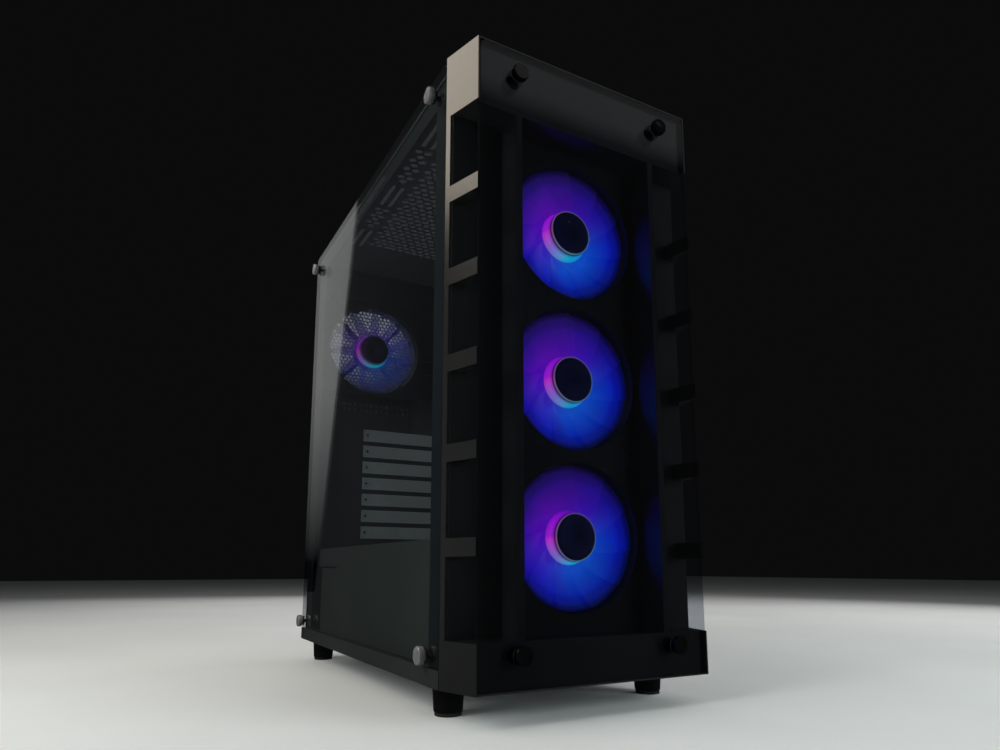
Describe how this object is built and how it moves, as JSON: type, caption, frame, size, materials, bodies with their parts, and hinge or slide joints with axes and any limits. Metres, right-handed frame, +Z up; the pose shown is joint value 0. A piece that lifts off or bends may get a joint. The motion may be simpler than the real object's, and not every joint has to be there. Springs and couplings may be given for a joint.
{
  "type": "desktop computer tower",
  "caption": "Steel mid-tower computer case with a glazed front and left side, lit intake and exhaust fans, a shrouded power supply and lift-off panels.",
  "frame": {"origin": "on the floor under the middle of the whole tower, thumbscrew heads included", "axes": "+X to the right as seen from the front, +Y from the front glass to the back, +Z up; the front faces -Y"},
  "size_m": [0.23, 0.4424, 0.4921],
  "materials": {
    "bezel_plastic": "satin moulded",
    "front_glass": "tinted, polished",
    "side_glass": "tinted, polished",
    "case_steel": "fine satin powder coat",
    "slot_steel": "satin powder coat",
    "black_nickel": "black nickel plate",
    "zinc_screw": "black zinc plate",
    "rubber": "matt",
    "fan_frame_plastic": "satin",
    "fan_rotor_plastic": "translucent, lit",
    "psu_steel": "textured powder coat",
    "psu_fan_plastic": "satin",
    "brass": "turned",
    "filter_plastic": "fine mesh in a frame",
    "port_steel": "bright stamping",
    "board_laminate": "solder mask",
    "button_plastic": "polished",
    "caddy_plastic": "satin",
    "foot_plastic": "satin"
  },
  "bodies": {
    "case": {"audio_jacks": "caddy_plastic", "base_pan": "case_steel", "board_standoffs": "brass", "drive_caddy_1": "caddy_plastic", "drive_caddy_2": "caddy_plastic", "drive_cage": "case_steel", "fan_hub": "caddy_plastic", "fan_screws": "zinc_screw", "feet": "foot_plastic", "filter_rails": "caddy_plastic", "foot_pads": "rubber", "front_bezel": "bezel_plastic", "front_fan_frame_1": "fan_frame_plastic", "front_fan_frame_2": "fan_frame_plastic", "front_fan_frame_3": "fan_frame_plastic", "front_wall": "case_steel", "glass_standoffs": "rubber", "io_blanking_plate": "slot_steel", "io_board": "board_laminate", "left_frame": "case_steel", "motherboard_tray": "case_steel", "power_inlet": "caddy_plastic", "psu_housing": "psu_steel", "psu_screws": "zinc_screw", "psu_shroud": "case_steel", "rear_fan_frame": "fan_frame_plastic", "rear_panel": "case_steel", "rocker_frame": "caddy_plastic", "slot_cover_screws": "zinc_screw", "slot_covers": "slot_steel", "ssd_brackets": "case_steel", "top_panel": "case_steel", "tray_grommets": "rubber", "usb_ports": "port_steel"},
    "front_glass": {"front_glass": "front_glass", "front_glass_washers": "rubber"},
    "side_glass": {"side_glass": "side_glass", "side_glass_washers": "rubber"},
    "right_panel": {"right_side_panel": "case_steel", "right_panel_screws": "black_nickel"},
    "top_filter": {"top_dust_filter": "filter_plastic"},
    "bottom_filter": {"psu_dust_filter": "filter_plastic"},
    "rear_fan": {"rear_fan_rotor": "fan_rotor_plastic"},
    "psu_fan": {"psu_fan_rotor": "psu_fan_plastic"},
    "power_button": {"power_button": "button_plastic"},
    "reset_button": {"reset_button": "button_plastic"},
    "led_button": {"led_button": "button_plastic"},
    "rocker": {"rocker_switch": "button_plastic"},
    "front_fan_1": {"front_fan_rotor_1": "fan_rotor_plastic"},
    "front_fan_2": {"front_fan_rotor_2": "fan_rotor_plastic"},
    "front_fan_3": {"front_fan_rotor_3": "fan_rotor_plastic"},
    "front_thumbscrew_1": {"front_thumbscrew_1": "black_nickel"},
    "side_thumbscrew_1": {"side_thumbscrew_1": "black_nickel"},
    "front_thumbscrew_2": {"front_thumbscrew_2": "black_nickel"},
    "side_thumbscrew_2": {"side_thumbscrew_2": "black_nickel"},
    "front_thumbscrew_3": {"front_thumbscrew_3": "black_nickel"},
    "side_thumbscrew_3": {"side_thumbscrew_3": "black_nickel"},
    "front_thumbscrew_4": {"front_thumbscrew_4": "black_nickel"},
    "side_thumbscrew_4": {"side_thumbscrew_4": "black_nickel"}
  },
  "joints": [
    {"name": "front_fan_1_spin", "type": "hinge", "parent": "case", "child": "front_fan_1", "pos_m": [0.0036, -0.17345, 0.1256], "axis": [0, 1, 0], "continuous": true},
    {"name": "front_fan_2_spin", "type": "hinge", "parent": "case", "child": "front_fan_2", "pos_m": [0.0036, -0.17345, 0.2494], "axis": [0, 1, 0], "continuous": true},
    {"name": "front_fan_3_spin", "type": "hinge", "parent": "case", "child": "front_fan_3", "pos_m": [0.0036, -0.17345, 0.3731], "axis": [0, 1, 0], "continuous": true},
    {"name": "rear_fan_spin", "type": "hinge", "parent": "case", "child": "rear_fan", "pos_m": [-0.0383, 0.19905, 0.3737], "axis": [0, 1, 0], "continuous": true},
    {"name": "psu_fan_spin", "type": "hinge", "parent": "case", "child": "psu_fan", "pos_m": [0.0036, 0.13775, 0.042], "axis": [0, 0, 1], "continuous": true},
    {"name": "front_glass_off", "type": "slide", "parent": "case", "child": "front_glass", "axis": [0, -1, 0], "range_m": [0, 0.08]},
    {"name": "side_glass_off", "type": "slide", "parent": "case", "child": "side_glass", "axis": [-1, 0, 0], "range_m": [0, 0.1]},
    {"name": "front_thumbscrew_1_turn", "type": "hinge", "parent": "front_glass", "child": "front_thumbscrew_1", "pos_m": [-0.0639, -0.21775, 0.0456], "axis": [0, -1, 0], "continuous": true},
    {"name": "front_thumbscrew_2_turn", "type": "hinge", "parent": "front_glass", "child": "front_thumbscrew_2", "pos_m": [-0.0639, -0.21775, 0.4695], "axis": [0, -1, 0], "continuous": true},
    {"name": "front_thumbscrew_3_turn", "type": "hinge", "parent": "front_glass", "child": "front_thumbscrew_3", "pos_m": [0.0711, -0.21775, 0.0456], "axis": [0, -1, 0], "continuous": true},
    {"name": "front_thumbscrew_4_turn", "type": "hinge", "parent": "front_glass", "child": "front_thumbscrew_4", "pos_m": [0.0711, -0.21775, 0.4695], "axis": [0, -1, 0], "continuous": true},
    {"name": "side_thumbscrew_1_turn", "type": "hinge", "parent": "side_glass", "child": "side_thumbscrew_1", "pos_m": [-0.1115, -0.15925, 0.0425], "axis": [-1, 0, 0], "continuous": true},
    {"name": "side_thumbscrew_2_turn", "type": "hinge", "parent": "side_glass", "child": "side_thumbscrew_2", "pos_m": [-0.1115, -0.15925, 0.472], "axis": [-1, 0, 0], "continuous": true},
    {"name": "side_thumbscrew_3_turn", "type": "hinge", "parent": "side_glass", "child": "side_thumbscrew_3", "pos_m": [-0.1115, 0.20575, 0.0425], "axis": [-1, 0, 0], "continuous": true},
    {"name": "side_thumbscrew_4_turn", "type": "hinge", "parent": "side_glass", "child": "side_thumbscrew_4", "pos_m": [-0.1115, 0.20575, 0.472], "axis": [-1, 0, 0], "continuous": true},
    {"name": "right_panel_slide", "type": "slide", "parent": "case", "child": "right_panel", "axis": [0, 1, 0], "range_m": [0, 0.025]},
    {"name": "top_filter_lift", "type": "slide", "parent": "case", "child": "top_filter", "axis": [0, 0, 1], "range_m": [0, 0.06]},
    {"name": "bottom_filter_slide", "type": "slide", "parent": "case", "child": "bottom_filter", "axis": [0, 1, 0], "range_m": [0, 0.125]},
    {"name": "power_button_press", "type": "slide", "parent": "case", "child": "power_button", "axis": [0, 0, -1], "range_m": [0, 0.0012], "stiffness_N_per_m": 500},
    {"name": "reset_button_press", "type": "slide", "parent": "case", "child": "reset_button", "axis": [0, 0, -1], "range_m": [0, 0.0012], "stiffness_N_per_m": 500},
    {"name": "led_button_press", "type": "slide", "parent": "case", "child": "led_button", "axis": [0, 0, -1], "range_m": [0, 0.0012], "stiffness_N_per_m": 500},
    {"name": "rocker_tilt", "type": "hinge", "parent": "case", "child": "rocker", "pos_m": [0.0536, 0.20755, 0.08], "axis": [0, 0, -1], "range_deg": [0, 18]}
  ]
}
